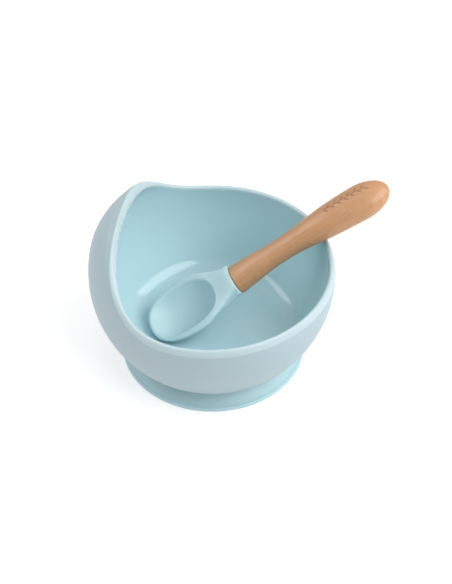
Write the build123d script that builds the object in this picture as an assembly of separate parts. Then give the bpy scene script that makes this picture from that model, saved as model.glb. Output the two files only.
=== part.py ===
"""Baby's suction bowl with its spoon.

A round silicone bowl with a high scoop lip stands on a soft suction foot.  A
silicone-headed spoon with a beech handle leans in it.  Millimetres, +Z up.
The origin is the centre of the foot's sealing ring on the table, and the
scoop lip is on the -X side.
"""
from build123d import *
import os
from math import asin, atan2, cos, degrees, hypot, radians, sin, sqrt

# ---- bowl
bowl_diameter = 120.0          # outside, at the widest height
belly_height = 52.5            # height of the widest ring
shoulder_angle = 11.1          # degrees above the belly where the wall starts to curl inwards
lip_curl = 70.0                # degrees that it has curled by at the top of the lip
wall = 3.1
rim_rounding = 0.46            # of the wall, on both edges, so that the rim is all but fully round
lip_wall = 5.6                 # the wall thickens towards the top of the lip
inner_start = 0.65             # inside, the curl starts at this share of shoulder_angle
floor_thickness = 2.4
floor_corner_radius = 15.0     # inside, between floor and wall
heel_radius = 1.4              # outside, between wall and underside

# ---- rim, seen from the side: level at the back, rising to the scoop lip
rim_height = 56.3              # rim above the table, over the bowl's axis
rim_fall = 0.8                 # how far the rim sinks towards the lip over one bowl radius
lip_height = 81.8
scoop_start = 9.8              # distance behind the axis where the rim starts to rise
scoop_power = 5.5              # how suddenly it rises

# ---- suction foot
foot_diameter = 90.8
foot_height = 10.4             # table to the underside of the bowl
foot_edge = 2.4                # thickness of the skirt's outer edge
foot_neck_diameter = 75.0      # where the foot meets the bowl
seal_width = 3.6               # flat sealing ring on the table
cup_depth = 5.6                # hollow under the foot
spigot_diameter = 52.0         # round key that centres the bowl on the foot
spigot_height = 1.0
spigot_clearance = 0.15
skirt_sag = 1.1                # how far the skirt's top curves in below a straight cone
cup_shoulder = 0.55            # share of the hollow's radius at which it starts to come down
cup_shoulder_height = 0.74     # share of the hollow's depth left there

# ---- spoon head
head_length = 50.0             # tip to the wood
head_width = 31.4
head_round = 43.0              # length of the oval part
head_depth = 10.3
hollow_length = 36.0
hollow_width = 25.0
hollow_depth = 8.0
tip_wall = 2.3                 # silicone in front of the hollow
rim_edge_radius = 0.6          # outer and inner edges of the head's flat rim
neck_overlap = 5.5             # how far the neck reaches into the oval
neck_root_width, neck_root_thickness = 19.2, 7.8
neck_width, neck_thickness = 16.0, 9.8
neck_drop = 4.5                # middle of the neck below the head's rim

# ---- spoon handle
handle_length = 88.0
handle_arch_radius = 315.0     # the handle is gently arched
handle_rise = 5.5              # degrees between the head's rim and the start of the handle
handle_drop = 4.3              # handle axis below the head's rim, at the joint
joint_width, joint_thickness = 15.2, 12.2
waist_width, waist_thickness = 12.3, 10.4
bulb_width, bulb_thickness = 19.0, 14.3
flare_end = 0.13               # as shares of the handle's length
waist_start = 0.24
waist_end = 0.36
swell = 0.64
bulb_place = 0.82

# ---- nylon core that joins head and handle
core_diameter = 6.0
core_in_head = 8.5
core_in_handle = 22.0
barb_count = 4
barb_height = 0.35
barb_share = 0.4               # length of a barb as a share of the barbs' pitch
nose_length, nose_bevel = 1.0, 0.8
bore_clearance = 0.05
bore_end_space = 2.0
glue_gap = 0.25                # silicone face to wood face

# ---- how the spoon lies in the bowl
spoon_heading = 24.3           # degrees from +X
spoon_roll = 12.9              # degrees about its own axis, face towards the user
spoon_offset = 4.2             # its middle plane passes this far to the left of the bowl's axis
tip_margin = 2.0               # tip to the start of the floor corner
rest_gap = 0.25                # clearance where the spoon touches the bowl

# ---- worked out from the sizes above
R = bowl_diameter / 2
inner_R = R - wall
floor_height = foot_height + floor_thickness



def polar(radius, angle):
    """Point (r, z) at an angle in degrees from a centre."""
    return Vector(radius * cos(radians(angle)), radius * sin(radians(angle)))


# The outer wall is a sphere up to the shoulder, then a tighter arc to the lip.
wall_centre = Vector(0, belly_height)
shoulder_way, lip_way = polar(1, shoulder_angle), polar(1, lip_curl)
shoulder_radius = (lip_height - belly_height - R * shoulder_way.Y) / (lip_way.Y - shoulder_way.Y)
shoulder_centre = wall_centre + shoulder_way * (R - shoulder_radius)
lip_reach = shoulder_centre.X + shoulder_radius * lip_way.X

# Inside, the tighter arc starts lower, so that the wall grows to lip_wall.
inner_angle = inner_start * shoulder_angle
inner_way = polar(1, inner_angle)
along = inner_way.dot(lip_way)
inner_shoulder_radius = (
    lip_wall - shoulder_radius - (shoulder_centre - wall_centre).dot(lip_way) + inner_R * along
) / (along - 1)
inner_shoulder_centre = wall_centre + polar(inner_R - inner_shoulder_radius, inner_angle)

scoop_rise = (lip_height - rim_height + rim_fall * lip_reach / R) / (
    (lip_reach + scoop_start) / R
) ** scoop_power

floor_flat = sqrt((inner_R - floor_corner_radius) ** 2
                  - (belly_height - floor_height - floor_corner_radius) ** 2)


def rim_line(x):
    """Height of the rim seen from the side."""
    rise = max(scoop_start - x, 0) / R
    return rim_height + rim_fall * x / R + scoop_rise * rise**scoop_power


def wall_profile(radius, centre_low, centre_top, top_radius, angle, bottom):
    """Closed half section bounded by a sphere, a tighter arc above it and a flat bottom."""
    start = Vector(sqrt(radius**2 - (centre_low.Y - bottom) ** 2), bottom)
    start_angle = degrees(atan2(bottom - centre_low.Y, start.X))
    middle = centre_low + polar(radius, (start_angle + angle) / 2)
    change = centre_low + polar(radius, angle)
    top = centre_top + Vector(0, top_radius)
    shoulder = centre_top + polar(top_radius, (angle + 90) / 2)
    side = ThreePointArc(start, middle, change) + ThreePointArc(change, shoulder, top)
    close = Polyline(top, (0, top.Y), (0, bottom), start)
    return make_face(side + close)


def spin(section):
    return revolve(Plane.XZ * section, Axis.Z)


def ring_edges(body, height):
    """Round edges that lie at one height."""
    return [e for e in body.edges() if abs(e.bounding_box().min.Z - height) < 1e-3
            and abs(e.bounding_box().max.Z - height) < 1e-3]


def bowl_shell():
    outside = spin(wall_profile(R, wall_centre, shoulder_centre, shoulder_radius,
                                shoulder_angle, foot_height))
    outside = fillet(ring_edges(outside, foot_height), heel_radius)
    inside = spin(wall_profile(inner_R, wall_centre, inner_shoulder_centre, inner_shoulder_radius,
                               inner_angle, floor_height))
    inside = fillet(ring_edges(inside, floor_height), floor_corner_radius)
    socket = Cylinder(spigot_diameter / 2 + spigot_clearance, spigot_height,
                      align=(Align.CENTER, Align.CENTER, Align.MIN))
    body = outside - inside - Pos(0, 0, foot_height) * socket

    # Everything above the rim line is cut away by one extruded side profile.
    top = shoulder_centre.Y + shoulder_radius + 2
    low_x = scoop_start - R * ((top - rim_height + rim_fall) / scoop_rise) ** (1 / scoop_power)
    high_x = R + 2
    steps = 24
    xs = [low_x + (high_x - low_x) * i / steps for i in range(steps + 1)]
    curve = Spline([(x, rim_line(x)) for x in xs])
    cap = Polyline(curve @ 1, (high_x, top + 2), (low_x, top + 2), curve @ 0)
    cutter = extrude(Plane.XZ * make_face(curve + cap), bowl_diameter, both=True)
    body = body - cutter

    def on_rim(edge):
        return all(abs((edge @ t).Z - rim_line((edge @ t).X)) < 0.05 for t in (0.1, 0.35, 0.6, 0.9))

    body = fillet([e for e in body.edges() if on_rim(e)], rim_rounding * wall)
    return body


def suction_base():
    foot_r = foot_diameter / 2
    neck_r = foot_neck_diameter / 2
    spigot_r = spigot_diameter / 2
    seal_r = foot_r - seal_width
    outline = Line((seal_r, 0), (foot_r - foot_edge / 2, 0))
    outline += ThreePointArc((foot_r - foot_edge / 2, 0), (foot_r, foot_edge / 2),
                             (foot_r - foot_edge / 2, foot_edge))
    outline += SagittaArc((foot_r - foot_edge / 2, foot_edge), (neck_r, foot_height), skirt_sag)
    spigot_top = foot_height + spigot_height
    outline += Polyline((neck_r, foot_height), (spigot_r, foot_height), (spigot_r, spigot_top),
                        (0, spigot_top), (0, cup_depth))
    outline += ThreePointArc((0, cup_depth), (seal_r * cup_shoulder, cup_depth * cup_shoulder_height),
                             (seal_r, 0))
    return spin(make_face(outline))


def ellipsoid(a, b, c):
    return scale(Sphere(1), by=(a, b, c))


# Spoon parts are made with the tip at the origin, +X towards the handle and
# +Z out of the head's rim.
handle_start = Plane(origin=(head_length, 0, -handle_drop),
                     x_dir=(cos(radians(handle_rise)), 0, sin(radians(handle_rise))),
                     z_dir=(-sin(radians(handle_rise)), 0, cos(radians(handle_rise))))


def handle_plane(distance):
    """Cross-section plane of the arched handle, its normal along the handle."""
    turn = distance / handle_arch_radius
    x = handle_arch_radius * sin(turn)
    z = -handle_arch_radius * (1 - cos(turn))
    here = handle_start.from_local_coords(Vector(x, 0, z))
    angle = radians(handle_rise) - turn
    return Plane(origin=here, x_dir=(0, 1, 0), z_dir=(cos(angle), 0, sin(angle)))


# Oval sections of the handle: distance from the joint, width and thickness.
handle_sections = [
    (0, joint_width, joint_thickness),
    (flare_end * handle_length, (joint_width + waist_width) / 2,
     (joint_thickness + waist_thickness) / 2),
    (waist_start * handle_length, waist_width, waist_thickness),
    (waist_end * handle_length, waist_width, waist_thickness),
    (swell * handle_length, (waist_width + 2 * bulb_width) / 3,
     (waist_thickness + 2 * bulb_thickness) / 3),
    (bulb_place * handle_length, bulb_width, bulb_thickness),
]


def handle_size(distance):
    """Width and thickness of the handle at a distance from the joint."""
    for (d0, w0, t0), (d1, w1, t1) in zip(handle_sections, handle_sections[1:]):
        if distance <= d1:
            share = max(distance - d0, 0) / (d1 - d0)
            return w0 + (w1 - w0) * share, t0 + (t1 - t0) * share
    return bulb_width, bulb_thickness


def spoon_core():
    length = core_in_head + core_in_handle
    r = core_diameter / 2
    on_end = (Align.CENTER, Align.CENTER, Align.MIN)
    post = Cylinder(r, length - nose_length, align=on_end)
    nose = Pos(0, 0, length - nose_length) * Cone(r, r - nose_bevel, nose_length, align=on_end)
    pitch = core_in_handle / (barb_count + 1)
    body = post + nose
    for i in range(barb_count):
        barb = Cone(r, r + barb_height, pitch * barb_share,
                    align=(Align.CENTER, Align.CENTER, Align.MAX))
        body += Pos(0, 0, core_in_head + pitch * (i + 1)) * barb
    return handle_plane(0) * Pos(0, 0, -core_in_head) * body


def neck_section(x, width, thickness):
    """Oval section of the neck, below the plane of the head's rim."""
    return Plane.YZ.offset(x) * Pos(0, -neck_drop) * Ellipse(width / 2, thickness / 2)


def spoon_head(core):
    oval = Pos(head_round / 2, 0, 0) * ellipsoid(head_round / 2, head_width / 2, head_depth)
    oval = split(oval, Plane.XY, keep=Keep.BOTTOM)
    end = handle_plane(-glue_gap) * Ellipse(joint_width / 2, joint_thickness / 2)
    root_x = head_round - neck_overlap
    sections = [
        neck_section(root_x, neck_root_width, neck_root_thickness),
        neck_section((root_x + head_length) / 2, neck_width, neck_thickness),
        end,
    ]
    neck = loft(sections)
    hollow = Pos(tip_wall + hollow_length / 2, 0, 0) * ellipsoid(
        hollow_length / 2, hollow_width / 2, hollow_depth)
    body = oval + neck - hollow
    rim_edges = [e for e in body.edges() if abs(e.bounding_box().max.Z) < 1e-3
                 and abs(e.bounding_box().min.Z) < 1e-3]
    return fillet(rim_edges, rim_edge_radius) - core


def spoon_handle():
    sections = [handle_plane(distance) * Ellipse(width / 2, thickness / 2)
                for distance, width, thickness in handle_sections]
    body = loft(sections)
    cap = ellipsoid(bulb_width / 2, bulb_thickness / 2, (1 - bulb_place) * handle_length)
    cap = split(cap, Plane.XY, keep=Keep.TOP)
    body += handle_plane(bulb_place * handle_length) * cap
    bore = Cylinder(core_diameter / 2 + barb_height + bore_clearance,
                    core_in_handle + bore_end_space,
                    align=(Align.CENTER, Align.CENTER, Align.MIN))
    return body - handle_plane(0) * bore


def spoon_axes(pitch):
    """Directions of the spoon's own X, Y and Z at a pitch, with its heading and roll."""
    h, p, r = radians(spoon_heading), radians(pitch), radians(spoon_roll)
    ahead = Vector(cos(p) * cos(h), cos(p) * sin(h), sin(p))
    level = Vector(-sin(h), cos(h), 0)
    upward = ahead.cross(level)
    return ahead, level * cos(r) + upward * sin(r), upward * cos(r) - level * sin(r)


def spoon_plane(pitch):
    """Spoon's place at a pitch: its oval rests on the floor, its tip near the corner."""
    ahead, across, upward = spoon_axes(pitch)
    reach = sqrt((head_round / 2 * ahead.Z) ** 2 + (head_width / 2 * across.Z) ** 2
                 + (head_depth * upward.Z) ** 2)
    middle_z = floor_height + rest_gap + reach
    tip_z = middle_z - head_round / 2 * ahead.Z
    back = floor_flat - tip_margin
    h = radians(spoon_heading)
    tip = Vector(-back * cos(h) - spoon_offset * sin(h), -back * sin(h) + spoon_offset * cos(h), tip_z)
    return Plane(origin=tip, x_dir=ahead, z_dir=upward)


def handle_clearance(pitch):
    """Distance from the rim's edge to the handle's underside."""
    place = spoon_plane(pitch)
    rim_r = R - wall / 2
    swing = radians(spoon_heading) + asin(spoon_offset / rim_r)
    edge_x, edge_y = rim_r * cos(swing), rim_r * sin(swing)
    edge = Vector(edge_x, edge_y, rim_line(edge_x) - wall / 2)
    local = place.to_local_coords(edge)
    local = handle_start.to_local_coords(Vector(local.X, 0, local.Z))
    to_axis = handle_arch_radius - hypot(local.X, local.Z + handle_arch_radius)
    width, thickness = handle_size(local.X)
    half = hypot(width / 2 * sin(radians(spoon_roll)), thickness / 2 * cos(radians(spoon_roll)))
    return to_axis - half - wall / 2


def settled_pitch():
    """Pitch at which the handle rests on the rim."""
    low, high = 0.0, 75.0
    for _ in range(40):
        middle = (low + high) / 2
        if handle_clearance(middle) < rest_gap:
            low = middle
        else:
            high = middle
    return high


core = spoon_core()
spoon_place = spoon_plane(settled_pitch())
parts = {
    "bowl_shell": bowl_shell(),
    "suction_base": suction_base(),
    "spoon_head": spoon_place * spoon_head(core),
    "spoon_core": spoon_place * core,
    "spoon_handle": spoon_place * spoon_handle(),
}

os.makedirs("parts", exist_ok=True)
for name, shape in parts.items():
    export_step(shape, f"parts/{name}.step")
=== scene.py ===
"""Looks of the suction bowl and its spoon: silicone bowl, foot and head, and beech handle.

Every piece is made in metres in the row frame, with the scoop lip on the -X side.
"""
import bmesh
import bpy
from math import atan2, cos, pi, radians, sin, sqrt
from mathutils import Matrix, Vector


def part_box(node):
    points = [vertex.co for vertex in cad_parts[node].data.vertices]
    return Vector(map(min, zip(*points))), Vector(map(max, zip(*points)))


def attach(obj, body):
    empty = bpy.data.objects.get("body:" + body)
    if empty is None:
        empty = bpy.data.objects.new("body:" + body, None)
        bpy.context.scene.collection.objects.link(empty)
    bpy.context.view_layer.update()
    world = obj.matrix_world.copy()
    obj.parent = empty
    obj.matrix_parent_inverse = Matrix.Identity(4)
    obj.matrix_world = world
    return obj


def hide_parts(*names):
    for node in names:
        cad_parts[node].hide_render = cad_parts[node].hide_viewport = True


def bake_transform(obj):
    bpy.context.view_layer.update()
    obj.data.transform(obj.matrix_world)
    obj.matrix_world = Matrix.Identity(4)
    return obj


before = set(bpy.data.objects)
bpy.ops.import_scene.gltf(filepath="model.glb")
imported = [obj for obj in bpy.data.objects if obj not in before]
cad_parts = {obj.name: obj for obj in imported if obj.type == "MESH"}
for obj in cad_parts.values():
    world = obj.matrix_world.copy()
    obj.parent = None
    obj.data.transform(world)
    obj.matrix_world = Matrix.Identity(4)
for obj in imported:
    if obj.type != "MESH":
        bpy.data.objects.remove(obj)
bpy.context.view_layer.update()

MM = 0.001

# ---- sizes that the frame gives
bowl_low, bowl_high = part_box("bowl_shell")
foot_low, foot_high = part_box("suction_base")
R = (bowl_high.y - bowl_low.y) / 2
FOOT_R = (foot_high.y - foot_low.y) / 2
LIP_HEIGHT = bowl_high.z
FOOT_HEIGHT = bowl_low.z

# ---- bowl wall, as the CAD part has it
BELLY_HEIGHT = 52.5 * MM
SHOULDER_ANGLE = radians(11.1)
LIP_CURL = radians(70.0)
WALL = 3.1 * MM
LIP_WALL = 5.6 * MM
FLOOR_THICKNESS = 2.4 * MM
FLOOR_CORNER = 15.0 * MM
HEEL = 1.4 * MM
RIM_HEIGHT = 56.3 * MM
RIM_FALL = 0.8 * MM
SCOOP_START = 9.8 * MM
SCOOP_POWER = 5.5
INNER_TURN = 0.65               # share of the shoulder's angle at which the inside turns tighter
RIM_LOWEST = -20.0 * MM         # the rim is searched from here, along the wall above the belly
RIM_TOP_TURN = radians(88)      # to this turn of the tighter arc
SLOPE_STEP = 0.02               # turn to each side over which the rim's slope is taken
RIM_CREST = 0.55                # place of the rim's top across the wall, from the outside
RIM_DROP = 3.5 * MM             # height of its rounding on the outside
RIM_INNER_DROP = 1.5 * MM       # and on the inside
LIP_TIGHTER = 0.7               # how much less it falls away at the lip
STEEP_RIM = 1.35                # most that the rounding is drawn out where the rim rises
MOULD_LINE_DROP = 4.6 * MM      # rim's top to the parting line, along the outside
MOULD_LINE_WIDTH = 0.45 * MM
MOULD_LINE_HEIGHT = 0.15 * MM

# ---- suction foot
FOOT_EDGE = 2.4 * MM
SKIRT_SAG = 1.1 * MM
NECK_R = 37.5 * MM
SPIGOT_GAP = 0.15 * MM
SEAL_WIDTH = 3.6 * MM
CUP_DEPTH = 5.6 * MM
SPIGOT_R = 26.0 * MM
BOWL_FLOOR = FOOT_HEIGHT + FLOOR_THICKNESS

# ---- spoon, tip at its own origin, +X towards the handle, +Z out of the head's rim
HEAD_LENGTH = 50.0 * MM
HEAD_WIDTH = 31.4 * MM
HEAD_ROUND = 43.0 * MM
HEAD_DEPTH = 10.3 * MM
HOLLOW_LENGTH = 36.0 * MM
HOLLOW_WIDTH = 25.0 * MM
HOLLOW_DEPTH = 8.0 * MM
TIP_WALL = 2.3 * MM
HANDLE_LENGTH = 88.0 * MM
HANDLE_ARCH = 390.0 * MM
HANDLE_RISE = radians(5.5)
HANDLE_DROP = 4.3 * MM
SPOON_HEADING = radians(24.3)
SPOON_PITCH = radians(30.12)
SPOON_ROLL = radians(12.9)
SPOON_OFFSET = 4.2 * MM
TIP_MARGIN = 2.0 * MM
REST_GAP = 0.25 * MM
JOINT_GAP = 0.25 * MM
JOINT_THICKNESS = 12.2 * MM
JOINT_STEP = 0.3 * MM           # how far the head stands proud of the handle underneath
JOINT_EDGE = 0.5 * MM           # rounding of the handle's edge there
BULB_WIDTH = 19.0 * MM
BULB_THICKNESS = 14.3 * MM
BULB_PLACE = 0.82               # share of the handle's length
HANDLE_STATIONS = {             # share of the length: share of the bulb's width and thickness
    0.0: (0.825, 0.853), 0.13: (0.73, 0.79), 0.24: (0.647, 0.727), 0.36: (0.647, 0.727),
    0.64: (0.92, 0.95), BULB_PLACE: (1.0, 1.0), 1.0: (1.0, 1.0),
}

# ---- sprig burnt into the handle
SPRIG_START = 55.5 * MM
SPRIG_RUN = 22.0 * MM
SPRIG_ASIDE = 2.6 * MM
LEAF_COUNT = 13
LEAF_ANGLE = radians(48)
LEAF_OUT = 0.9                  # middle of a leaf to the stem, as a share of its half length

# ---- how finely the meshes are cut
HALVINGS = 44                   # of a range in which an edge is searched
WALL_COLUMNS = 360
RIM_ROWS_OUTSIDE = 12
RIM_ROWS_INSIDE = 8
FOOT_COLUMNS = 240
HEAD_JOINT_COLUMNS = 60
HEAD_COLUMNS = 260
HANDLE_COLUMNS = 80
HANDLE_ROWS = 150


# ---------------------------------------------------------------- node building

class Value:
    """A node's output that takes part in sums: each operator adds its Math node."""

    def __init__(self, graph, socket):
        self.graph, self.socket = graph, socket

    def math(self, operation, *others):
        sockets = dict(enumerate((self,) + others))
        return self.graph.add("ShaderNodeMath", {"operation": operation}, sockets)

    def swapped(self, operation, other):
        """The same sum with the other value first, as in 1 - mask."""
        return self.graph.add("ShaderNodeMath", {"operation": operation}, {0: other, 1: self})

    def __add__(self, other):
        return self.math("ADD", other)

    def __sub__(self, other):
        return self.math("SUBTRACT", other)

    def __mul__(self, other):
        return self.math("MULTIPLY", other)

    def __truediv__(self, other):
        return self.math("DIVIDE", other)

    def __pow__(self, other):
        return self.math("POWER", other)

    def __rsub__(self, other):
        return self.swapped("SUBTRACT", other)

    def __rtruediv__(self, other):
        return self.swapped("DIVIDE", other)

    __radd__ = __add__
    __rmul__ = __mul__

    def root(self):
        """Square root, and zero where there is none."""
        return self.math("MAXIMUM", 0.0) ** 0.5


class Graph:
    """Adds nodes to one shader or geometry tree."""

    def __init__(self, tree):
        self.tree = tree

    def add(self, kind, settings=None, sockets=None, output=0):
        """One node, from its settings and the values or links of its sockets. Gives an output."""
        node = self.tree.nodes.new(kind)
        for name, value in (settings or {}).items():
            if name == "curve":
                points = node.mapping.curves[0].points
                while len(points) < len(value):
                    points.new(1.0, 1.0)
                for point, place in zip(points, value):
                    point.location = place
                node.mapping.update()
            else:
                setattr(node, name, value)
        for name, value in (sockets or {}).items():
            self.feed(node.inputs[name], value)
        return None if output is None else Value(self, node.outputs[output])

    def feed(self, socket, value):
        """Links a value to a socket, or sets the socket to a number, vector or colour."""
        if isinstance(value, Value):
            self.tree.links.new(value.socket, socket)
        else:
            socket.default_value = value

    def parts(self, vector):
        """The X, Y and Z of a vector as three values."""
        node = self.add("ShaderNodeSeparateXYZ", sockets={0: vector}).socket.node
        return [Value(self, output) for output in node.outputs]

    def vector(self, x, y, z):
        return self.add("ShaderNodeCombineXYZ", sockets={0: x, 1: y, 2: z})

    def mix(self, factor, one, other):
        """Colour between one and other."""
        return self.add("ShaderNodeMix", {"data_type": "RGBA"}, {0: factor, 6: one, 7: other}, 2)


# ---------------------------------------------------------------- meshes

def mesh_object(name, points, faces):
    mesh = bpy.data.meshes.new(name)
    mesh.from_pydata([tuple(p) for p in points], [], faces)
    mesh.validate()
    mesh.shade_smooth()
    obj = bpy.data.objects.new(name, mesh)
    bpy.context.scene.collection.objects.link(obj)
    return obj


def spread(start, end, steps, ends=True):
    """Evenly spaced numbers, with or without the last."""
    last = steps if ends else steps - 1
    return [start + (end - start) * i / steps for i in range(last + 1)]


def arc(centre, radius, start, end, steps):
    return [centre + radius * Vector((cos(a), sin(a))) for a in spread(start, end, steps)]


def turned(section, angle):
    """Points of a half section, in reach and height, turned to an angle round +Z."""
    return [Vector((p.x * cos(angle), p.x * sin(angle), p.y)) for p in section]


def last_passing(test, low, high):
    """Largest number of a range that passes a test, found by halving."""
    for _ in range(HALVINGS):
        middle = (low + high) / 2
        if test(middle):
            low = middle
        else:
            high = middle
    return low


def lathe(name, columns):
    """Closed skin round +Z: each column is a list of points that starts and ends on the axis."""
    count, rows = len(columns), len(columns[0])
    points = [columns[0][0], columns[0][-1]]
    for column in columns:
        points += column[1:-1]
    inner = rows - 2
    faces = []
    for c in range(count):
        here, there = 2 + c * inner, 2 + (c + 1) % count * inner
        faces.append((0, there, here))
        for r in range(inner - 1):
            faces.append((here + r, there + r, there + r + 1, here + r + 1))
        faces.append((1, here + inner - 1, there + inner - 1))
    return mesh_object(name, points, faces)


class WallCurve:
    """Half section of the wall: a sphere that turns into a tighter arc above the shoulder."""

    def __init__(self, radius, turn, top_radius):
        self.radius, self.turn, self.top_radius = radius, turn, top_radius
        reach = radius - top_radius
        self.centre = Vector((reach * cos(turn), BELLY_HEIGHT + reach * sin(turn)))

    def frame_at(self, length):
        """Centre, radius and angle of the wall at an arc length above the belly."""
        if length <= self.radius * self.turn:
            return Vector((0, BELLY_HEIGHT)), self.radius, length / self.radius
        extra = length - self.radius * self.turn
        return self.centre, self.top_radius, self.turn + extra / self.top_radius

    def point(self, length):
        centre, radius, angle = self.frame_at(length)
        return centre + radius * Vector((cos(angle), sin(angle)))

    def outward(self, length):
        angle = self.frame_at(length)[2]
        return Vector((cos(angle), sin(angle)))

    def nearest(self, point):
        """Arc length of the wall point that faces a point."""
        angle = atan2(point.y - BELLY_HEIGHT, point.x)
        if angle <= self.turn:
            return self.radius * angle
        local = point - self.centre
        return self.radius * self.turn + self.top_radius * (atan2(local.y, local.x) - self.turn)


def wall_curves():
    """Outer and inner half sections, thickening from WALL to LIP_WALL at the lip."""
    rise = LIP_HEIGHT - BELLY_HEIGHT - R * sin(SHOULDER_ANGLE)
    outer_top = rise / (sin(LIP_CURL) - sin(SHOULDER_ANGLE))
    outer = WallCurve(R, SHOULDER_ANGLE, outer_top)
    turn, inner_r = INNER_TURN * SHOULDER_ANGLE, R - WALL
    along = cos(LIP_CURL - turn)
    curl_way = Vector((cos(LIP_CURL), sin(LIP_CURL)))
    lean = (outer.centre - Vector((0, BELLY_HEIGHT))).dot(curl_way)
    inner_top = (LIP_WALL - outer_top - lean + inner_r * along) / (along - 1)
    return outer, WallCurve(inner_r, turn, inner_top)


OUTER, INNER = wall_curves()
CORNER_Z = BOWL_FLOOR + FLOOR_CORNER
FLAT_REACH = sqrt((INNER.radius - FLOOR_CORNER) ** 2 - (BELLY_HEIGHT - CORNER_Z) ** 2)


def rim_line(x):
    """Height of the rim seen from the side."""
    reach = OUTER.centre.x + OUTER.top_radius * cos(LIP_CURL)
    climb = LIP_HEIGHT - RIM_HEIGHT + RIM_FALL * reach / R
    scale = climb / ((reach + SCOOP_START) / R) ** SCOOP_POWER
    return RIM_HEIGHT + RIM_FALL * x / R + scale * (max(SCOOP_START - x, 0) / R) ** SCOOP_POWER


def rim_length(angle):
    """Arc length above the belly at which the wall meets the rim, at an angle round the bowl."""
    def below_rim(length):
        point = OUTER.point(length)
        return rim_line(point.x * cos(angle)) > point.y

    highest = OUTER.radius * OUTER.turn + OUTER.top_radius * RIM_TOP_TURN
    return last_passing(below_rim, RIM_LOWEST, highest)


def rim_slope(angle):
    """How steeply the rim rises at an angle round the bowl."""
    before, after = (OUTER.point(rim_length(a)) for a in (angle - SLOPE_STEP, angle + SLOPE_STEP))
    return atan2(abs(after.y - before.y), 2 * SLOPE_STEP * (before.x + after.x) / 2)


def underside():
    """Half section from the axis along the foot's socket and round the heel, and where it ends."""
    heel_z = FOOT_HEIGHT + HEEL
    heel_reach = sqrt((R - HEEL) ** 2 - (BELLY_HEIGHT - heel_z) ** 2)
    heel_end = atan2(heel_z - BELLY_HEIGHT, heel_reach)
    socket_r, socket_top = SPIGOT_R + SPIGOT_GAP, foot_high.z
    section = [Vector((0, socket_top)), Vector((socket_r, socket_top))]
    section += [Vector((r, FOOT_HEIGHT)) for r in spread(socket_r, heel_reach, steps=4, ends=False)]
    section += arc(Vector((heel_reach, heel_z)), HEEL, -pi / 2, heel_end, steps=5)[:-1]
    return section, R * heel_end


def outer_wall(start, top, end):
    """Outside from the heel to the rim's rounding, with the fine raised parting line on its way."""
    line, margin = top - MOULD_LINE_DROP, 1.5 * MOULD_LINE_WIDTH
    section = [OUTER.point(length) for length in spread(start, line - margin, steps=40)]
    for share in spread(-1, 1, steps=4):
        length = line + share * MOULD_LINE_WIDTH
        section.append(OUTER.point(length)
                       + OUTER.outward(length) * MOULD_LINE_HEIGHT * (1 - abs(share)))
    section += [OUTER.point(length) for length in spread(line + margin, end, steps=2)]
    return section


def rim_round(start, outer_point, inner_point, cap):
    """Rim's rounding: a long quarter oval outside and a shorter one inside, meeting on its crest."""
    thick = (outer_point - inner_point).length
    across = (outer_point - inner_point) / thick
    up = Vector((-across.y, across.x))
    crest = outer_point + cap * up - RIM_CREST * thick * across
    away = crest - start
    fall, rise = away.dot(across), away.dot(up)
    soft = (1 - RIM_CREST) * thick
    section = [start + (1 - cos(turn)) * fall * across + rise * sin(turn) * up
               for turn in spread(0, pi / 2, RIM_ROWS_OUTSIDE)[1:]]
    section += [inner_point + (cos(turn) + 1) * soft * across + cap * sin(turn) * up
                for turn in spread(pi / 2, pi, RIM_ROWS_INSIDE)[:-1]]
    return section


def inner_wall(start):
    """Inside from the rim's rounding down, round the floor's wide corner and in to the axis."""
    corner_end = atan2(CORNER_Z - BELLY_HEIGHT, FLAT_REACH)
    section = [INNER.point(length) for length in spread(start, INNER.radius * corner_end, steps=44)]
    section += arc(Vector((FLAT_REACH, CORNER_Z)), FLOOR_CORNER, corner_end, -pi / 2, steps=14)[1:]
    section += [Vector((r, BOWL_FLOOR)) for r in spread(FLAT_REACH, 0, steps=10)[1:]]
    return section


def wall_section(angle):
    """Half section of the bowl at an angle, in three runs: outside, rim and inside."""
    top = rim_length(angle)
    cap = RIM_INNER_DROP * min(1 / cos(rim_slope(angle)), STEEP_RIM)
    lift = (OUTER.point(top).y - RIM_HEIGHT) / (LIP_HEIGHT - RIM_HEIGHT)
    outside_end = top - RIM_DROP * (1 - LIP_TIGHTER * max(lift, 0) ** 2)
    outer_point = OUTER.point(top - cap)
    inner_length = INNER.nearest(outer_point)
    below, heel_length = underside()
    outside = below + outer_wall(heel_length, top, outside_end)
    rim = rim_round(outside[-1], outer_point, INNER.point(inner_length), cap)
    return outside, rim, inner_wall(inner_length)


def bowl_wall(outside_finish, rim_finish_painted_top_light, inside_finish):
    columns = []
    for angle in spread(0, 2 * pi, WALL_COLUMNS, ends=False):
        outside, rim, inside = wall_section(angle)
        columns.append(turned(outside + rim + inside, angle))
    piece = lathe("bowl_wall", columns)
    for finish in (outside_finish, rim_finish_painted_top_light, inside_finish):
        piece.data.materials.append(finish)
    # Rows take the outside, rim or inside copy of the silicone, whose different colours are painted
    # light.
    rows = len(columns[0]) - 1
    rim_start = len(outside) - 1
    inside_start = rim_start + len(rim)
    for index, face in enumerate(piece.data.polygons):
        row = index % rows
        face.material_index = int(row >= rim_start) + int(row >= inside_start)
    return piece


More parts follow.
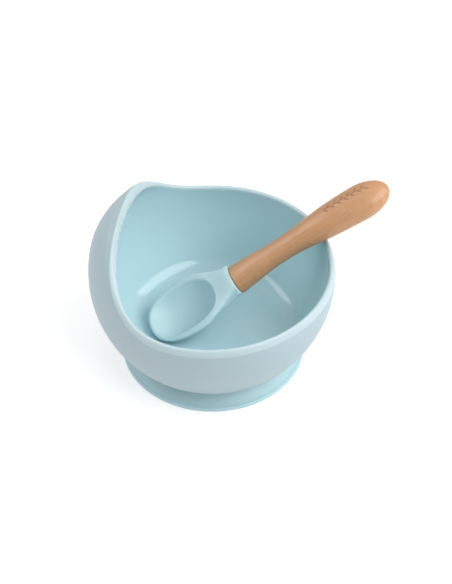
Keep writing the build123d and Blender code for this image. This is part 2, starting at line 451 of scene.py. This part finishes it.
def foot_skirt(finish):
    """Hollow cup, sealing edge, sagging skirt, and the key that centres the bowl."""
    edge = FOOT_EDGE / 2
    seal = FOOT_R - SEAL_WIDTH
    cup_radius = (seal ** 2 + CUP_DEPTH ** 2) / (2 * CUP_DEPTH)
    section = [Vector((r, CUP_DEPTH - (cup_radius - sqrt(cup_radius ** 2 - r ** 2))))
               for r in spread(0, seal, steps=20)]
    section += arc(Vector((FOOT_R - edge, edge)), edge, -pi / 2, pi / 2, steps=10)
    low, high = Vector((FOOT_R - edge, FOOT_EDGE)), Vector((NECK_R, FOOT_HEIGHT))
    away = Vector((low.y - high.y, high.x - low.x)).normalized()
    for share in spread(0, 1, steps=18)[1:]:
        section.append(low.lerp(high, share) + away * SKIRT_SAG * 4 * share * (1 - share))
    top = foot_high.z
    section += [Vector((SPIGOT_R, FOOT_HEIGHT)), Vector((SPIGOT_R, top)), Vector((0, top))]
    piece = lathe("foot_skirt",
                  [turned(section, a) for a in spread(0, 2 * pi, FOOT_COLUMNS, ends=False)])
    piece.data.materials.append(finish)
    return piece


# ---------------------------------------------------------------- spoon

def spoon_turn():
    """Rotation from the spoon's own frame to the row frame."""
    ahead = Vector((cos(SPOON_PITCH) * cos(SPOON_HEADING),
                    cos(SPOON_PITCH) * sin(SPOON_HEADING),
                    sin(SPOON_PITCH)))
    level = Vector((-sin(SPOON_HEADING), cos(SPOON_HEADING), 0))
    upward = ahead.cross(level)
    across = level * cos(SPOON_ROLL) + upward * sin(SPOON_ROLL)
    face = upward * cos(SPOON_ROLL) - level * sin(SPOON_ROLL)
    return Matrix((ahead, across, face)).transposed()


def spoon_place():
    """Spoon's own frame to the row frame: it rests on the floor, with its tip near the corner."""
    turn = spoon_turn()
    lift = turn[2]
    half = Vector((HEAD_ROUND / 2 * lift[0], HEAD_WIDTH / 2 * lift[1], HEAD_DEPTH * lift[2]))
    height = BOWL_FLOOR + REST_GAP + half.length - half.x
    back = FLAT_REACH - TIP_MARGIN
    tip = Vector((-back * cos(SPOON_HEADING) - SPOON_OFFSET * sin(SPOON_HEADING),
                  -back * sin(SPOON_HEADING) + SPOON_OFFSET * cos(SPOON_HEADING), height))
    return Matrix.Translation(tip) @ turn.to_4x4()


def smooth(x):
    """Zero to one, easy at both ends."""
    x = min(max(x, 0), 1)
    return x * x * (3 - 2 * x)


def soft_min(one, other, size):
    """The lower of two heights, with the corner between them rounded."""
    near = max(size - abs(one - other), 0) / size
    return min(one, other) - near * near * size / 4


def oval_norm(x, y, half_length, half_width, fullness):
    """One on a full oval's outline, less inside it."""
    return (abs(x / half_length) ** fullness + abs(y / half_width) ** fullness) ** (1 / fullness)


class HeadForm:
    """Heights of the moulded spoon head over its plan: oval, flat rim, hollow and neck."""
    tip = 0.9 * MM
    widest = 24.5 * MM
    half = HEAD_WIDTH / 2
    neck_half = 8.0 * MM
    neck_run = 24.5 * MM            # widest place to where the neck is narrowest
    turn_start, turn_run = 33.0 * MM, 14.0 * MM         # open head to oval neck
    crown_start, crown_run = 38.0 * MM, 12.0 * MM       # flat rim to crowned neck
    lean_start, lean_run = 40.0 * MM, 10.0 * MM         # square end to the handle's slope
    outline_fullness = 2.4
    hollow_fullness = 2.45
    hollow_middle = TIP_WALL + HOLLOW_LENGTH / 2
    rim_power, neck_power = 9.0, 4.6
    edge_drop = 1.1 * MM            # rim to the sharpest part of the edge
    joint_edge = 0.2 * MM
    top_at_joint = 1.7 * MM
    waist_depth = 8.2 * MM
    waist_place = 40.0 * MM
    hollow_edge = 1.0 * MM          # rounding
    longest_reach = 60.0 * MM

    def half_width(self, x):
        share = smooth((x - self.widest) / self.neck_run)
        return self.half + (self.neck_half - self.half) * share - self.end_trim(x)

    def end_trim(self, x):
        """How much the rounded edge at the joint takes off."""
        edge = max(self.joint_edge - (HEAD_LENGTH - x), 0)
        return self.joint_edge - sqrt(self.joint_edge ** 2 - min(edge, self.joint_edge) ** 2)

    def nearness(self, x, y):
        """Zero along the spine, one on the outline."""
        if x < self.widest:
            return oval_norm(x - self.widest, y, self.widest - self.tip, self.half,
                             self.outline_fullness)
        return abs(y) / self.half_width(x)

    def side(self, x):
        """How far the form has turned from open head to oval neck, and its edge height."""
        turn = smooth((x - self.turn_start) / self.turn_run)
        return turn, -self.edge_drop + (self.edge_drop - HANDLE_DROP) * turn

    def top(self, x, y):
        """Flat rim that crowns towards the joint, with the hollow cut into it."""
        turn, edge = self.side(x)
        crown = self.top_at_joint * smooth((x - self.crown_start) / self.crown_run)
        power = self.rim_power + (self.neck_power - self.rim_power) * turn
        share = max(1 - min(self.nearness(x, y), 1) ** power, 0) ** (1 / power)
        rim = edge + (crown - edge) * share - self.end_trim(x)
        return soft_min(rim, self.hollow(x, y), self.hollow_edge)

    def hollow(self, x, y):
        """Height in the hollow: round-bottomed, and level with the rim on its own oval."""
        out = oval_norm(x - self.hollow_middle, y, HOLLOW_LENGTH / 2, HOLLOW_WIDTH / 2,
                        self.hollow_fullness)
        return HOLLOW_DEPTH * (0.45 * out ** 4 + 0.55 * out ** 2 - 1)

    def bottom(self, x, y):
        """Deepest under the hollow, drawn in at the waist and fuller again at the joint."""
        edge = self.side(x)[1]
        to_waist = smooth((x - self.widest) / (self.waist_place - self.widest))
        to_joint = smooth((x - self.waist_place) / (HEAD_LENGTH - self.waist_place))
        rise = (HEAD_DEPTH - self.waist_depth) * to_waist
        joint_depth = HANDLE_DROP + JOINT_THICKNESS / 2 + JOINT_STEP
        fall = (joint_depth - self.waist_depth) * to_joint
        depth = HEAD_DEPTH - rise + fall
        share = sqrt(max(1 - min(self.nearness(x, y), 1) ** 2, 0))
        return edge - (depth + edge) * share + self.end_trim(x)

    def reach(self, way):
        """Distance from the hollow's middle to the outline."""
        def inside(distance):
            x, y = self.hollow_middle + way.x * distance, way.y * distance
            return x < HEAD_LENGTH and self.nearness(x, y) < 1

        return last_passing(inside, 0.0, self.longest_reach)

    def column(self, angle):
        """Points from the hollow's middle over the rim, round the edge and back underneath."""
        way = Vector((cos(angle), sin(angle)))
        reach = self.reach(way)
        brim = 1 / oval_norm(way.x, way.y, HOLLOW_LENGTH / 2, HOLLOW_WIDTH / 2,
                             self.hollow_fullness)
        soft = self.hollow_edge
        start = brim + soft
        rings = spread(0, brim - soft, steps=16) + spread(brim - soft, start, steps=10)[1:]
        rings += [start + (reach - start) * sin(t) for t in spread(0, pi / 2, steps=26)[1:]]
        plan = [(self.hollow_middle + way.x * r, way.y * r) for r in rings]
        points = [Vector((x, y, self.top(x, y))) for x, y in plan]
        x, y = plan[-1]
        low = self.bottom(x, y)
        high = points[-1].z
        points += [Vector((x, y, z)) for z in spread(high, low, steps=8)[1:]]
        for t in spread(0, pi / 2, steps=40)[1:]:
            x, y = self.hollow_middle + way.x * reach * cos(t), way.y * reach * cos(t)
            points.append(Vector((x, y, self.bottom(x, y))))
        for point in points:
            lean = smooth((point.x - self.lean_start) / self.lean_run)
            point.x -= lean * ((point.z + HANDLE_DROP) * sin(HANDLE_RISE) + JOINT_GAP)
        return points


def spoon_head(finish):
    form = HeadForm()
    corner = atan2(form.neck_half - form.joint_edge, HEAD_LENGTH - form.hollow_middle)
    angles = spread(-corner, corner, HEAD_JOINT_COLUMNS)
    angles += spread(corner, 2 * pi - corner, HEAD_COLUMNS)[1:-1]
    piece = lathe("spoon_head_moulded", [form.column(angle) for angle in angles])
    piece.data.materials.append(finish)
    close_up(piece)
    piece.data.transform(spoon_place())
    return piece


def close_up(piece):
    """Merges points that meet, and turns all faces outwards."""
    work = bmesh.new()
    work.from_mesh(piece.data)
    bmesh.ops.remove_doubles(work, verts=work.verts, dist=1e-6)
    bmesh.ops.dissolve_degenerate(work, edges=work.edges, dist=1e-7)
    bmesh.ops.recalc_face_normals(work, faces=work.faces)
    work.to_mesh(piece.data)
    work.free()
    piece.data.shade_smooth()


# ---------------------------------------------------------------- pieces made by node trees

def shape_tree(name, sizes):
    """Geometry tree with named size inputs. Gives its graph and the inputs as values."""
    tree = bpy.data.node_groups.new(name, "GeometryNodeTree")
    tree.interface.new_socket("Geometry", in_out="OUTPUT", socket_type="NodeSocketGeometry")
    for label in sizes:
        tree.interface.new_socket(label, in_out="INPUT", socket_type="NodeSocketFloat")
    graph = Graph(tree)
    group = tree.nodes.new("NodeGroupInput")
    return graph, {label: Value(graph, group.outputs[label]) for label in sizes}


def grow(name, graph, shape, material, sizes):
    """Ends a tree, runs it once with its sizes and keeps the result as a plain mesh."""
    whole = graph.add("GeometryNodeRealizeInstances", sockets={"Geometry": shape})
    done = graph.add("GeometryNodeSetMaterial", sockets={"Geometry": whole, "Material": material})
    graph.feed(graph.tree.nodes.new("NodeGroupOutput").inputs[0], done)
    seed = mesh_object(name + "_seed", [], [])
    form = seed.modifiers.new("form", "NODES")
    form.node_group = graph.tree
    for item in graph.tree.interface.items_tree:
        if item.in_out == "INPUT":
            form[item.identifier] = sizes[item.name]
    grown = seed.evaluated_get(bpy.context.evaluated_depsgraph_get())
    mesh = bpy.data.meshes.new_from_object(grown)
    bpy.data.objects.remove(seed)
    mesh.name = name
    mesh.shade_smooth()
    piece = bpy.data.objects.new(name, mesh)
    bpy.context.scene.collection.objects.link(piece)
    return piece


class HandleForm:
    """Node maths of the turned handle, shared by the wood and the marks burnt into it."""
    sizes = {"Length": HANDLE_LENGTH, "Arch radius": HANDLE_ARCH, "Bulb width": BULB_WIDTH,
             "Bulb thickness": BULB_THICKNESS, "Bulb place": BULB_PLACE, "Joint edge": JOINT_EDGE}

    def __init__(self, graph, size):
        self.graph, self.size = graph, size

    def half(self, distance, index):
        """Half the width (0) or thickness (1) at a distance from the joint."""
        share = distance / self.size["Length"]
        points = [(place, sizes[index]) for place, sizes in HANDLE_STATIONS.items()]
        along = self.graph.add("ShaderNodeFloatCurve", {"curve": points}, {"Value": share})
        place = self.size["Bulb place"]
        past = ((share - place) / (1 - place)).math("MAXIMUM", 0.0)
        end = (1 - past * past).root()
        return along * self.size[("Bulb width", "Bulb thickness")[index]] / 2 * end

    def place(self, distance, side, height):
        """Point of the arched handle, from distances along, across and above its axis."""
        turn = distance / self.size["Arch radius"]
        radius = self.size["Arch radius"] + height
        return self.graph.vector(radius * turn.math("SINE"), side,
                                 radius * turn.math("COSINE") - self.size["Arch radius"])


def handle_place():
    """Handle's own frame, X along it, to the row frame: it rises from the spoon's neck."""
    joint = Matrix.Translation((HEAD_LENGTH, 0, -HANDLE_DROP))
    return spoon_place() @ (joint @ Matrix.Rotation(-HANDLE_RISE, 4, "Y"))


def wooden_handle(material):
    graph, size = shape_tree("turned_handle", HandleForm.sizes)
    form = HandleForm(graph, size)
    rod = graph.add("GeometryNodeMeshCylinder", {"fill_type": "TRIANGLE_FAN"},
                    {"Vertices": HANDLE_COLUMNS, "Side Segments": HANDLE_ROWS,
                     "Radius": 1.0, "Depth": 1.0})
    x, y, z = graph.parts(graph.add("GeometryNodeInputPosition"))
    share = (1 - ((z + 0.5) * pi).math("COSINE")) / 2
    distance = share * size["Length"]
    edge = size["Joint edge"]
    short = (edge - distance).math("MAXIMUM", 0.0)
    trim = edge - (edge * edge - short * short).root()
    side = (form.half(distance, 0) - trim) * x
    height = (form.half(distance, 1) - trim) * y
    shaped = graph.add("GeometryNodeSetPosition",
                       sockets={"Geometry": rod, "Position": form.place(distance, side, height)})
    closed = graph.add("GeometryNodeMergeByDistance",
                       sockets={"Geometry": shaped, "Distance": 1e-6})
    piece = grow("wooden_handle", graph, closed, material, form.sizes)
    close_up(piece)
    piece.data.transform(handle_place())
    return piece


def burnt_sprig(material):
    """Sprig of small leaves burnt into the top of the handle."""
    layout = {"Start": SPRIG_START, "Run": SPRIG_RUN, "Aside": SPRIG_ASIDE,
              "Leaf length": 1.5 * MM, "Leaf width": 0.5 * MM, "Leaf height": 0.1 * MM,
              "Stem": 0.15 * MM}
    sizes = {**HandleForm.sizes, **layout}
    graph, size = shape_tree("burnt_sprig", sizes)
    form = HandleForm(graph, size)
    start = graph.vector(size["Start"], size["Aside"], 0.0)
    end = graph.vector(size["Start"] + size["Run"], size["Aside"], 0.0)
    step = graph.vector(size["Run"] / (LEAF_COUNT - 1), 0.0, 0.0)

    # leaves that point to one side and the other in turn
    line = graph.add("GeometryNodeMeshLine", sockets={
        "Count": LEAF_COUNT, "Start Location": start, "Offset": step})
    way = graph.add("GeometryNodeInputIndex").math("MODULO", 2.0) * 2 - 1
    ball = graph.add("GeometryNodeMeshUVSphere", sockets={
        "Segments": 12, "Rings": 6, "Radius": 1.0})
    leaf = graph.add("GeometryNodeTransform", sockets={
        "Geometry": ball,
        "Translation": graph.vector(LEAF_OUT * size["Leaf length"], 0.0, 0.0),
        "Scale": graph.vector(size["Leaf length"], size["Leaf width"], size["Leaf height"])})
    leaves = graph.add("GeometryNodeInstanceOnPoints", sockets={
        "Points": line, "Instance": leaf,
        "Rotation": graph.vector(0.0, 0.0, way * LEAF_ANGLE)})
    leaves = graph.add("GeometryNodeRealizeInstances", sockets={"Geometry": leaves})

    # stem
    spine = graph.add("GeometryNodeCurvePrimitiveLine", sockets={"Start": start, "End": end})
    spine = graph.add("GeometryNodeResampleCurve", sockets={"Curve": spine, "Count": 40})
    ring = graph.add("GeometryNodeCurvePrimitiveCircle", sockets={
        "Resolution": 6, "Radius": size["Stem"]})
    stem = graph.add("GeometryNodeCurveToMesh", sockets={
        "Curve": spine, "Profile Curve": ring, "Fill Caps": True})
    join = graph.tree.nodes.new("GeometryNodeJoinGeometry")
    for part in (leaves, stem):
        graph.tree.links.new(part.socket, join.inputs[0])

    # both laid on the wood
    x, y, z = graph.parts(graph.add("GeometryNodeInputPosition"))
    lean = y / form.half(x, 0)
    surface = form.half(x, 1) * (1 - lean * lean).root()
    laid = graph.add("GeometryNodeSetPosition", sockets={
        "Geometry": Value(graph, join.outputs[0]), "Position": form.place(x, y, surface + z)})
    piece = grow("burnt_sprig", graph, laid, material, sizes)
    piece.data.transform(handle_place())
    return piece


# ---------------------------------------------------------------- finishes

# ---- silicone
DRIFT_SIZE = 26 * MM
SMUDGE_SIZE = 7 * MM
SILICONE_IOR = 1.42
SCATTER_DEPTH = 2.5 * MM
SCATTER_COLOUR = (0.8, 1.0, 1.05)

# ---- beech: the tree's heart lies beside and under the handle
HEART_SIDE = 22 * MM
HEART_DEPTH = 31 * MM
RING_WIDTH = 2.1 * MM
RING_DRIFT = 5 * MM
FLECK_THRESHOLD = 0.62          # noise above it is a fleck

# ---- floor
FLOOR_GLOW = 0.44

# ---- colours, in linear light
WHITE, FLOOR_GREY = (1, 1, 1, 1), (0.6, 0.6, 0.6, 1)
# Wall, rim, inside and foot are one silicone in lit and shaded copies: the rim's lighter colour is
# painted light falling on its top, the inside's and the foot's more saturated colours are painted
# bounce light, and the outside's greyer colour is painted sheen of the white room. The foot's colour
# is also partly its own thinner, more see-through silicone.
WALL_LIGHT, WALL_DEEP = (0.347, 0.437, 0.473, 1), (0.33, 0.422, 0.459, 1)
RIM_LIGHT, RIM_DEEP = (0.41, 0.51, 0.54, 1), (0.39, 0.495, 0.525, 1)
INSIDE_LIGHT, INSIDE_DEEP = (0.42, 0.605, 0.645, 1), (0.40, 0.59, 0.635, 1)
FOOT_LIGHT, FOOT_DEEP = (0.375, 0.545, 0.585, 1), (0.36, 0.53, 0.57, 1)
SPOON_LIGHT, SPOON_DEEP = (0.435, 0.585, 0.615, 1), (0.415, 0.57, 0.60, 1)
BEECH_LIGHT, BEECH_WARM = (0.50, 0.272, 0.13, 1), (0.45, 0.234, 0.107, 1)
BEECH_GROWTH, BEECH_FLECK = (0.35, 0.17, 0.075, 1), (0.24, 0.11, 0.045, 1)
BURNT_LIGHT, BURNT_DARK = (0.34, 0.18, 0.105, 1), (0.25, 0.125, 0.07, 1)
NYLON_LIGHT, NYLON_DEEP = (0.62, 0.61, 0.56, 1), (0.55, 0.54, 0.49, 1)


def new_finish(name):
    """Empty material. Gives it, its graph and a function that ends it in a Principled shader."""
    material = bpy.data.materials.new(name)
    material.use_nodes = True
    material.node_tree.nodes.clear()
    graph = Graph(material.node_tree)

    def shade(**sockets):
        named = {label.replace("_", " "): value for label, value in sockets.items()}
        shader = graph.add("ShaderNodeBsdfPrincipled", sockets=named)
        graph.add("ShaderNodeOutputMaterial", sockets={"Surface": shader}, output=None)
    return material, graph, shade


def noise(graph, where, size, detail=2.0, roughness=0.5):
    """Noise whose spots are about a size across, from 0 to 1."""
    return graph.add("ShaderNodeTexNoise", sockets={
        "Vector": where, "Scale": 1 / size, "Detail": detail, "Roughness": roughness})


def object_place(graph):
    """Place on the piece, which a pattern keeps when the piece moves."""
    return graph.add("ShaderNodeTexCoord", output="Object")


def silicone(name, light, deep, dullness, grain, grain_size, scatter, polish=0.0, sheen=0.5):
    """Moulded silicone: milky, with slow colour drift and the fine grain of its mould."""
    material, graph, shade = new_finish(name)
    where = object_place(graph)
    drift = noise(graph, where, DRIFT_SIZE)
    speckle = noise(graph, where, grain_size, detail=1.0)
    smudge = noise(graph, where, SMUDGE_SIZE, detail=4.0, roughness=0.6)
    bump = graph.add("ShaderNodeBump", sockets={
        "Strength": 1.0, "Distance": grain, "Height": speckle + smudge * 0.6})
    shade(Base_Color=graph.mix(drift * 0.7 + speckle * 0.3, light, deep),
          Roughness=dullness + (smudge - 0.5) * 0.05 + (speckle - 0.5) * 0.03,
          Subsurface_Weight=scatter, Subsurface_Radius=SCATTER_COLOUR,
          Subsurface_Scale=SCATTER_DEPTH,
          Coat_Weight=polish, Coat_Roughness=0.01, Coat_IOR=SILICONE_IOR,
          Specular_IOR_Level=sheen, IOR=SILICONE_IOR, Normal=bump)
    return material


def beech(name):
    """Oiled beech: pale brown, faint growth lines, short dark flecks and fine fibres."""
    material, graph, shade = new_finish(name)
    where = object_place(graph)
    place = handle_place()
    along = graph.add("ShaderNodeMapping", {"vector_type": "TEXTURE"}, {
        "Vector": where, "Location": place.translation, "Rotation": place.to_euler()})
    x, y, z = graph.parts(along)

    def grain(pull, size, **settings):
        """Noise drawn out along the handle: pull is how fast it changes along against across."""
        return noise(graph, graph.vector(x * pull, y, z), size, **settings)

    slow = grain(pull=0.12, size=9 * MM)
    heart = ((y - HEART_SIDE) ** 2 + (z + HEART_DEPTH) ** 2) ** 0.5
    rings = ((heart + slow * RING_DRIFT) * (2 * pi / RING_WIDTH)).math("SINE") * 0.5 + 0.5
    fibre = grain(pull=0.045, size=0.75 * MM, detail=3.0, roughness=0.65)
    fleck = grain(pull=0.16, size=0.7 * MM, detail=1.0)
    fleck = ((fleck - FLECK_THRESHOLD) * 9).math("MAXIMUM", 0.0).math("MINIMUM", 1.0)
    patch = grain(pull=0.4, size=16 * MM, detail=1.0)
    colour = graph.mix(patch, BEECH_LIGHT, BEECH_WARM)
    colour = graph.mix(rings * 0.14 + (fibre - 0.5) * 1.1 + 0.3, colour, BEECH_GROWTH)
    colour = graph.mix(fleck * 0.3, colour, BEECH_FLECK)
    bump = graph.add("ShaderNodeBump", sockets={
        "Strength": 0.7, "Distance": 0.05 * MM, "Height": fibre - fleck * 0.6})
    shade(Base_Color=colour, Roughness=0.4 + fibre * 0.14 + fleck * 0.1,
          Coat_Weight=0.3, Coat_Roughness=0.25, IOR=1.5, Normal=bump)
    return material


def burnt_beech(name):
    """Charred beech, browner and duller than the wood round it."""
    material, graph, shade = new_finish(name)
    where = object_place(graph)
    char = noise(graph, where, 0.5 * MM, detail=3.0, roughness=0.7)
    shade(Base_Color=graph.mix(char, BURNT_LIGHT, BURNT_DARK), Roughness=0.6 + char * 0.2)
    return material


def nylon(name):
    """Undyed nylon, faintly cloudy."""
    material, graph, shade = new_finish(name)
    where = object_place(graph)
    cloud = noise(graph, where, 2 * MM, detail=3.0)
    shade(Base_Color=graph.mix(cloud, NYLON_LIGHT, NYLON_DEEP),
          Roughness=0.4 + cloud * 0.15, Subsurface_Weight=0.1, Subsurface_Scale=1 * MM)
    return material


def plain_floor(name):
    """Matt pale floor with a little light of its own, which keeps shadows soft."""
    material, graph, shade = new_finish(name)
    shade(Base_Color=FLOOR_GREY, Roughness=0.9, Specular_IOR_Level=0.1,
          Emission_Color=WHITE, Emission_Strength=FLOOR_GLOW)
    return material


# Outside copy: its greyer colour is painted sheen.
matte_wall_painted_sheen = silicone("silicone_matte_wall", WALL_LIGHT, WALL_DEEP, dullness=0.52,
                      grain=0.02 * MM, grain_size=0.35 * MM, scatter=0.15)
# Rim copy: its lighter colour is painted light falling on the rim's top.
rim_finish_painted_top_light = silicone("silicone_rim_painted_top_light", RIM_LIGHT, RIM_DEEP, dullness=0.38,
                      grain=0.006 * MM, grain_size=0.4 * MM, scatter=0.2)
# Inside copy: its more saturated colour is painted bounce light.
satin_wall_painted_bounce = silicone("silicone_satin_wall", INSIDE_LIGHT, INSIDE_DEEP, dullness=0.36,
                      grain=0.002 * MM, grain_size=0.5 * MM, scatter=0.2, polish=1.0, sheen=0.1)
# Foot: its more saturated colour is partly painted bounce light, partly its thinner, more
# see-through silicone.
foot_finish_painted_bounce = silicone("silicone_foot", FOOT_LIGHT, FOOT_DEEP, dullness=0.42,
                       grain=0.012 * MM, grain_size=0.4 * MM, scatter=0.25)
spoon_finish = silicone("silicone_spoon", SPOON_LIGHT, SPOON_DEEP, dullness=0.5,
                        grain=0.008 * MM, grain_size=0.45 * MM, scatter=0.2)
wood_finish = beech("oiled_beech")
burnt_finish = burnt_beech("burnt_beech")
core_finish = nylon("natural_nylon")


# ---------------------------------------------------------------- pieces

wall = bowl_wall(matte_wall_painted_sheen, rim_finish_painted_top_light, satin_wall_painted_bounce)
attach(wall, "bowl")
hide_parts("bowl_shell")

foot = foot_skirt(foot_finish_painted_bounce)
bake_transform(foot)
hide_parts("suction_base")

head = spoon_head(spoon_finish)
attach(head, "spoon")
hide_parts("spoon_head")

handle = wooden_handle(wood_finish)
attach(handle, "spoon")
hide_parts("spoon_handle")

sprig = burnt_sprig(burnt_finish)
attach(sprig, "spoon")

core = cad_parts["spoon_core"]
core.data.materials.clear()
core.data.materials.append(core_finish)


# ---------------------------------------------------------------- floor, light and camera

AIM = Vector((0, 0, 25 * MM))
FLOOR_RADIUS, FLOOR_DEPTH = 30.0, 0.01
ROOM_HORIZON, ROOM_ZENITH = 0.27, 1.05
SOFT_LIGHTS = {                 # place, width, height and watts
    "key_softbox": ((0.73, -0.14, 0.84), 1.35, 0.6, 10.6),
    "left_strip": ((-0.78, 0.02, 0.74), 0.75, 0.42, 3.0),
    "right_fill": ((0.95, 0.10, 0.30), 0.7, 0.5, 1.6),
}
CAMERA_AZIMUTH, CAMERA_HEIGHT = radians(10.79), radians(44.555)
CAMERA_ROLL = radians(-1.151)
CAMERA_DISTANCE = 985.5 * MM
CAMERA_LENS = 122.76
CAMERA_SHIFT = (0.0225, 0.032)


def pale_floor():
    section = [Vector((0, 0)), Vector((FLOOR_RADIUS, 0)), Vector((0, -FLOOR_DEPTH))]
    floor = lathe("floor", [turned(section, a) for a in spread(0, 2 * pi, steps=64, ends=False)])
    floor.data.materials.append(plain_floor("pale_floor"))
    return floor


def area_light(name, place, width, height, power):
    data = bpy.data.lights.new(name, "AREA")
    data.shape = "RECTANGLE"
    data.size, data.size_y, data.energy = width, height, power
    light = bpy.data.objects.new(name, data)
    light.location = place
    light.rotation_euler = (AIM - Vector(place)).to_track_quat("-Z", "Y").to_euler()
    bpy.context.scene.collection.objects.link(light)


def soft_room():
    """World that brightens from its horizon to its zenith."""
    world = bpy.data.worlds.new("soft_room")
    world.use_nodes = True
    world.node_tree.nodes.clear()
    room = Graph(world.node_tree)
    height = room.parts(room.add("ShaderNodeTexCoord", output="Generated"))[2]
    rise = height.math("MAXIMUM", 0.0) * (ROOM_ZENITH - ROOM_HORIZON)
    glow = room.add("ShaderNodeBackground", sockets={
        "Color": WHITE, "Strength": rise + ROOM_HORIZON})
    room.add("ShaderNodeOutputWorld", sockets={"Surface": glow}, output=None)
    return world


def studio_camera():
    camera = bpy.data.objects.new("camera", bpy.data.cameras.new("camera"))
    bpy.context.scene.collection.objects.link(camera)
    back = Vector((sin(CAMERA_AZIMUTH) * cos(CAMERA_HEIGHT),
                   -cos(CAMERA_AZIMUTH) * cos(CAMERA_HEIGHT),
                   sin(CAMERA_HEIGHT)))
    camera.location = AIM + back * CAMERA_DISTANCE
    facing = (-back).to_track_quat("-Z", "Y").to_matrix()
    camera.rotation_euler = (facing @ Matrix.Rotation(CAMERA_ROLL, 3, "Z")).to_euler()
    camera.data.lens = CAMERA_LENS
    camera.data.shift_x, camera.data.shift_y = CAMERA_SHIFT
    return camera


pale_floor()
for light_name, light_sizes in SOFT_LIGHTS.items():
    area_light(light_name, *light_sizes)
scene = bpy.context.scene
scene.world = soft_room()
scene.view_settings.view_transform = "Standard"
scene.camera = studio_camera()
